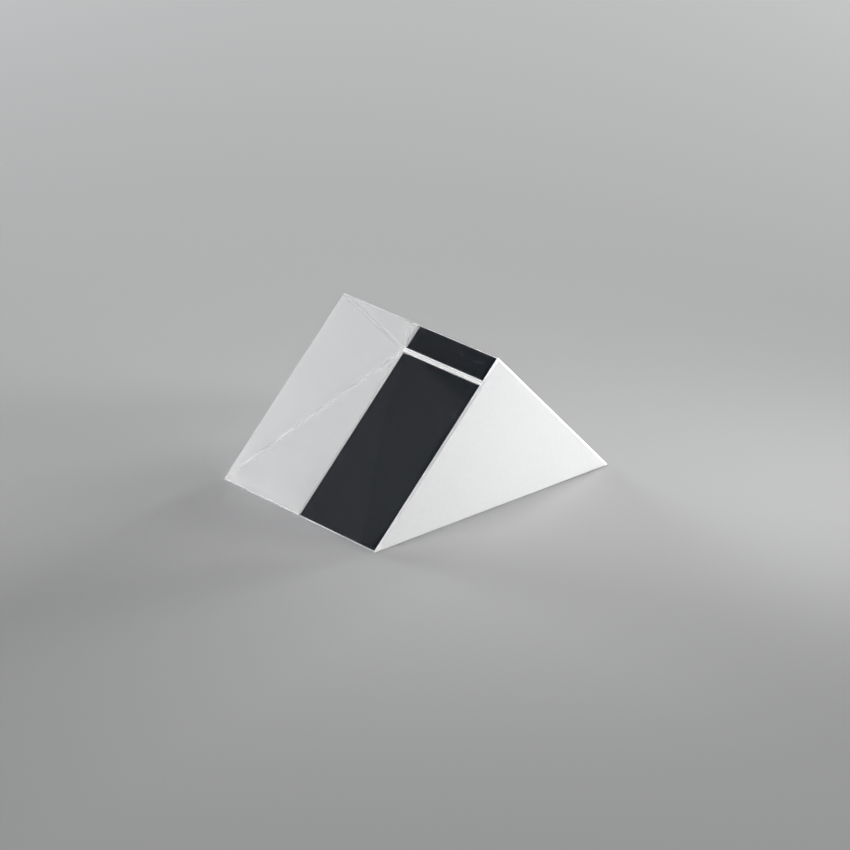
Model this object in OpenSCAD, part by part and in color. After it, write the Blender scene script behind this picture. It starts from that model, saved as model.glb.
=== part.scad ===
// Right angle prism
//
// One solid of optical glass, with a right isosceles triangle for its section. It lies on
// its hypotenuse face, with the ridge between its two leg faces on top.
//
// X runs along the ridge, Y across the hypotenuse face and Z up. The origin is at the
// middle of the hypotenuse face.
//
// The two leg faces and the hypotenuse face are polished flats, and the two triangular
// ends are fine ground. All nine edges have a narrow ground bevel, which keeps the glass
// from chipping. Each bevel leans equally on the two faces that it joins, and the bevels
// mitre with each other at the six corners.

/* [Prism] */
// Leg of the triangular section, measured to its sharp corners
leg = 25.4; // [5:0.1:60]
// Length along the ridge, from one ground end to the other
prism_length = 25.4; // [5:0.1:80]

/* [Protective bevels] */
// Width of the bevel along the ridge
ridge_bevel = 0.25; // [0.05:0.05:1]
// Width of the bevels along the two long edges of the hypotenuse face
base_bevel = 0.25; // [0.05:0.05:1]
// Width of the bevels along the three edges of each ground end
end_bevel = 0.35; // [0.05:0.05:1]

/* [Hidden] */

// Angle inside the glass at the ridge, at the long edges of the base and round the ends
ridge_angle = 90;
base_angle = (180 - ridge_angle) / 2;
end_angle = 90;

// Height of the sharp ridge, and how far the sharp edges of the base lie from the middle
ridge_height = leg * sin(base_angle);
half_base = leg * cos(base_angle);

// Each long face, as the direction of its outward normal, turned from +Y towards +Z, and
// its distance from the origin
leg_face_distance = half_base * sin(base_angle);
back_leg_face = [90 - base_angle, leg_face_distance];
front_leg_face = [90 + base_angle, leg_face_distance];
hypotenuse_face = [-90, 0];
long_faces = [back_leg_face, front_leg_face, hypotenuse_face];

// A grinding block reaches this far each way, which is past the glass from any edge
reach = leg + prism_length;

// Glass before its edges are ground, with sharp corners
module sharp_prism() {
  rotate([90, 0, 90])
    linear_extrude(prism_length, center = true)
      polygon([[-half_base, 0], [half_base, 0], [0, ridge_height]]);
}

// Block whose -X side grinds a bevel. The sharp edge lies along Z, and the glass fills the
// angle behind it, centred on -X
module grinding_block(bevel, edge_angle) {
  depth = bevel / (2 * tan(edge_angle / 2));
  translate([-depth, -reach, -reach])
    cube(2 * reach);
}

// Block for the long edge through the point [y, z]. It faces outwards in the direction
// given, turned from +Y towards +Z
module long_edge(point, direction, bevel, edge_angle) {
  translate([0, point.x, point.y])
    rotate([direction, 0, 0])
      rotate([90, 0, 90])
        grinding_block(bevel, edge_angle);
}

// Blocks for the ridge and the two long edges of the base
module long_edges() {
  long_edge([0, ridge_height], 90, ridge_bevel, ridge_angle);
  for (side = [0, 1])
    mirror([0, side, 0])
      long_edge([half_base, 0], -base_angle / 2, base_bevel, base_angle);
}

// Blocks for the three edges of one end, where the end meets each long face
module end_edges() {
  for (face = long_faces)
    rotate([face[0], 0, 0])
      translate([prism_length / 2, face[1], 0])
        rotate([0, 0, end_angle / 2])
          grinding_block(end_bevel, end_angle);
}

module prism() {
  color([0.80, 0.86, 0.88, 0.6])
    difference() {
      sharp_prism();
      long_edges();
      for (end = [0, 1])
        mirror([end, 0, 0])
          end_edges();
    }
}

prism();
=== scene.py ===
"""A right angle prism of optical glass, lying on its hypotenuse face on a plain pale floor.

The glass is one closed mesh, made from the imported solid: its three long faces are polished, its two
triangular ends are fine ground and its nine edges have ground bevels.
"""

import math

import bmesh
import bpy
from mathutils import Matrix, Vector

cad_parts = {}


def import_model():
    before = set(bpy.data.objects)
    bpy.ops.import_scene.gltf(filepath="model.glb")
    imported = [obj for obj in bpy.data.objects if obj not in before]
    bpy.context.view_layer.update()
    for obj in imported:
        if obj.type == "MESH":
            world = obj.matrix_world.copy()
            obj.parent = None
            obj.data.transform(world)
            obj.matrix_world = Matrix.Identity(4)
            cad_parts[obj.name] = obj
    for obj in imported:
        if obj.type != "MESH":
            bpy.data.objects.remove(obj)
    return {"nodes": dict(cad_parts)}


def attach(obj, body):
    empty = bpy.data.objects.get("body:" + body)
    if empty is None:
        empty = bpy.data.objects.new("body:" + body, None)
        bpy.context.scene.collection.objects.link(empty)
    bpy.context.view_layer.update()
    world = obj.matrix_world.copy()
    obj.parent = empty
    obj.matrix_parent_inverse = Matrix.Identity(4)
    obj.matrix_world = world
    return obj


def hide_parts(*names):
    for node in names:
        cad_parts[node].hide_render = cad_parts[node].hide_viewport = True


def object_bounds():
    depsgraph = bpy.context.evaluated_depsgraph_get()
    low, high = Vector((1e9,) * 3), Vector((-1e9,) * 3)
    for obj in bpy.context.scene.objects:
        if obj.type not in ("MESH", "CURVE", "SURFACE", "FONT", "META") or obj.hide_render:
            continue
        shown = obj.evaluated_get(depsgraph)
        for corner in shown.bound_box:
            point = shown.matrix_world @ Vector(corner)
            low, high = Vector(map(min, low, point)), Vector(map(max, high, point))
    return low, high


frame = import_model()
cad_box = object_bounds()

MM = 0.001
MIDDLE = (Vector(cad_box[0]) + Vector(cad_box[1])) / 2

# Optical glass
GLASS_IOR = 1.517

# Finish of the ground faces: soft patches of lighter and darker white, and fine pits
MOTTLE = 0.45 * MM
PIT_STRENGTH = 0.35
END_PIT = 0.06 * MM
BEVEL_PIT = 0.09 * MM

# Stage: a pale floor in an unlit room
FLOOR_COLOUR = (0.4, 0.4, 0.4)
ROOM_COLOUR = (0.001, 0.003, 0.006)

# Camera, at the angle of the picture of the real prism
FRAME_PIXELS = 850
SENSOR = 36.0
FOCAL_PIXELS = 3932.5
CAMERA_AIM = Vector((1.15, 0.07, 6.19)) * MM
CAMERA_DISTANCE = 438.35 * MM
CAMERA_AZIMUTH = 46.58
CAMERA_ELEVATION = 23.51
CAMERA_ROLL = 1.17


def add_object(name, data):
    thing = bpy.data.objects.new(name, data)
    bpy.context.scene.collection.objects.link(thing)
    return thing


# ---------------------------------------------------------------- materials


def new_material(name):
    """A material with an empty tree, and its output node."""
    material = bpy.data.materials.new(name)
    material.use_nodes = True
    material.node_tree.nodes.clear()
    return material, material.node_tree.nodes.new("ShaderNodeOutputMaterial")


def polished_glass():
    material, out = new_material("polished_glass")
    tree = material.node_tree
    glass = tree.nodes.new("ShaderNodeBsdfPrincipled")
    glass.inputs["Base Color"].default_value = (1, 1, 1, 1)
    glass.inputs["Transmission Weight"].default_value = 1
    glass.inputs["Roughness"].default_value = 0
    glass.inputs["IOR"].default_value = GLASS_IOR
    tree.links.new(glass.outputs[0], out.inputs["Surface"])
    return material


def grain(tree, size, detail):
    """A noise texture fixed to the glass, whose patches are about this size."""
    place = tree.nodes.new("ShaderNodeTexCoord")
    cloud = tree.nodes.new("ShaderNodeTexNoise")
    cloud.inputs["Scale"].default_value = 1 / size
    cloud.inputs["Detail"].default_value = detail
    tree.links.new(place.outputs["Object"], cloud.inputs["Vector"])
    return cloud


def ground_glass(name, dark, light, through, clear, roughness, pit):
    """Fine-ground glass: a white surface mixed with clear rough glass.

    The white varies between dark and light in soft patches. Through is the share of its light that
    it passes on to the other side. Clear is the share of rough glass, and pit the size of the pits
    that break up the surface.
    """
    material, out = new_material(name)
    tree = material.node_tree
    shade = tree.nodes.new("ShaderNodeValToRGB")
    shade.color_ramp.elements[0].position = 0.35
    shade.color_ramp.elements[0].color = (*dark, 1)
    shade.color_ramp.elements[1].position = 0.65
    shade.color_ramp.elements[1].color = (*light, 1)
    tree.links.new(grain(tree, MOTTLE, 3).outputs[0], shade.inputs[0])
    bump = tree.nodes.new("ShaderNodeBump")
    bump.inputs["Strength"].default_value = PIT_STRENGTH
    bump.inputs["Distance"].default_value = pit / 4
    tree.links.new(grain(tree, pit, 2).outputs[0], bump.inputs["Height"])
    front = tree.nodes.new("ShaderNodeBsdfDiffuse")
    behind = tree.nodes.new("ShaderNodeBsdfTranslucent")
    scatter = tree.nodes.new("ShaderNodeMixShader")
    scatter.inputs[0].default_value = through
    rough = tree.nodes.new("ShaderNodeBsdfGlass")
    rough.inputs["Roughness"].default_value = roughness
    rough.inputs["IOR"].default_value = GLASS_IOR
    both = tree.nodes.new("ShaderNodeMixShader")
    both.inputs[0].default_value = clear
    for surface in (front, behind):
        tree.links.new(shade.outputs[0], surface.inputs["Color"])
    for surface in (front, behind, rough):
        tree.links.new(bump.outputs[0], surface.inputs["Normal"])
    tree.links.new(front.outputs[0], scatter.inputs[1])
    tree.links.new(behind.outputs[0], scatter.inputs[2])
    tree.links.new(scatter.outputs[0], both.inputs[1])
    tree.links.new(rough.outputs[0], both.inputs[2])
    tree.links.new(both.outputs[0], out.inputs["Surface"])
    return material


def floor_paint():
    material, out = new_material("floor_paint")
    tree = material.node_tree
    paint = tree.nodes.new("ShaderNodeBsdfDiffuse")
    paint.inputs["Color"].default_value = (*FLOOR_COLOUR, 1)
    tree.links.new(paint.outputs[0], out.inputs["Surface"])
    return material


# ---------------------------------------------------------------- the prism

# Numbers of the finishes in the glass's list of materials
POLISHED, END, BEVEL = range(3)

# Two unit vectors point the same way when their dot product is over this
SAME_WAY = 0.999


def finish_of(normal):
    """The finish of the face with this normal."""
    if abs(normal.x) > SAME_WAY:
        return END
    slope = math.sqrt(0.5)
    polished = ((0, 0, -1), (0, slope, slope), (0, -slope, slope))
    if any(normal.dot(Vector(way)) > SAME_WAY for way in polished):
        return POLISHED
    return BEVEL


def prism():
    solid = bmesh.new()
    solid.from_mesh(frame["nodes"]["prism"].data)
    bmesh.ops.remove_doubles(solid, verts=solid.verts, dist=0.001 * MM)
    bmesh.ops.dissolve_limit(
        solid, angle_limit=math.radians(1), verts=solid.verts, edges=solid.edges
    )
    for face in solid.faces:
        face.normal_update()
        face.material_index = finish_of(face.normal)
        face.smooth = False
    mesh = bpy.data.meshes.new("prism_glass")
    solid.to_mesh(mesh)
    solid.free()
    mesh.materials.append(polished_glass())
    mesh.materials.append(
        ground_glass(
            "ground_end",
            dark=(0.905, 0.91, 0.915),
            light=(0.93, 0.93, 0.93),
            through=0.2,
            clear=0.1,
            roughness=0.7,
            pit=END_PIT,
        )
    )
    mesh.materials.append(
        ground_glass(
            "ground_bevel",
            dark=(0.9, 0.905, 0.91),
            light=(0.93, 0.93, 0.93),
            through=0.35,
            clear=0.6,
            roughness=0.5,
            pit=BEVEL_PIT,
        )
    )
    piece = add_object("prism_glass", mesh)
    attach(piece, "root")
    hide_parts("prism")
    return piece


# ---------------------------------------------------------------- stage

FLOOR_SIZE = 4.0

# The floor lies this far under the glass, because two faces in one plane would flicker
FLOOR_GAP = 0.02 * MM


def floor():
    mesh = bpy.data.meshes.new("floor")
    half = FLOOR_SIZE / 2
    corners = [(-half, -half, 0), (half, -half, 0), (half, half, 0), (-half, half, 0)]
    mesh.from_pydata(corners, [], [(0, 1, 2, 3)])
    mesh.materials.append(floor_paint())
    ground = add_object("floor", mesh)
    ground.location.z = -FLOOR_GAP


def direction(azimuth, elevation):
    """Unit vector from the prism towards an azimuth and elevation in degrees."""
    turn, rise = math.radians(azimuth), math.radians(elevation)
    return Vector(
        (math.sin(turn) * math.cos(rise), -math.cos(turn) * math.cos(rise), math.sin(rise))
    )


def softbox(name, azimuth, elevation, distance, size, level, colour=(1, 1, 1), beam=180):
    """An area lamp that faces the prism, from an azimuth and elevation as the camera's are given.

    A white card at the prism that faces the lamp takes this level of light from it, where 1 is
    white. Beam is the full angle of the light in degrees: under 180, the lamp has a grid in front
    that keeps its light off the floor beside it.
    """
    lamp = bpy.data.lights.new(name, "AREA")
    lamp.shape = "RECTANGLE"
    lamp.size, lamp.size_y = size
    half_beam = math.radians(beam) / 2
    lamp.spread = 2 * half_beam
    lamp.energy = level * (math.pi * distance) ** 2 * (1 - half_beam / math.tan(half_beam))
    lamp.color = colour
    box = add_object(name, lamp)
    away = direction(azimuth, elevation)
    box.location = MIDDLE + away * distance
    box.rotation_euler = away.to_track_quat("Z", "Y").to_euler()
    box.visible_camera = False


def world():
    studio = bpy.data.worlds.new("studio")
    studio.use_nodes = True
    studio.node_tree.nodes["Background"].inputs["Color"].default_value = (*ROOM_COLOUR, 1)
    bpy.context.scene.world = studio


def camera():
    data = bpy.data.cameras.new("camera")
    data.sensor_width = SENSOR
    data.lens = FOCAL_PIXELS * SENSOR / FRAME_PIXELS
    data.clip_start = 0.01
    eye = add_object("camera", data)
    back = direction(CAMERA_AZIMUTH, CAMERA_ELEVATION)
    turn = back.to_track_quat("Z", "Y").to_matrix() @ Matrix.Rotation(
        math.radians(CAMERA_ROLL), 3, "Z"
    )
    eye.matrix_world = Matrix.Translation(CAMERA_AIM + back * CAMERA_DISTANCE) @ turn.to_4x4()
    bpy.context.scene.camera = eye


prism()
floor()

# The right lamp is close, so that the right end is a little brighter towards it
softbox("overhead", 0, 88, 0.4, (0.2, 0.14), 0.5)
softbox("left", -90, 12, 0.4, (0.2, 0.14), 0.83, colour=(0.965, 0.98, 1.0))
softbox("right", 130, 15, 0.12, (0.05, 0.035), 1.06, beam=60)
softbox("back", 178, 7, 0.5, (0.3, 0.08), 2.4)

world()
camera()
bpy.context.scene.view_settings.view_transform = "Standard"
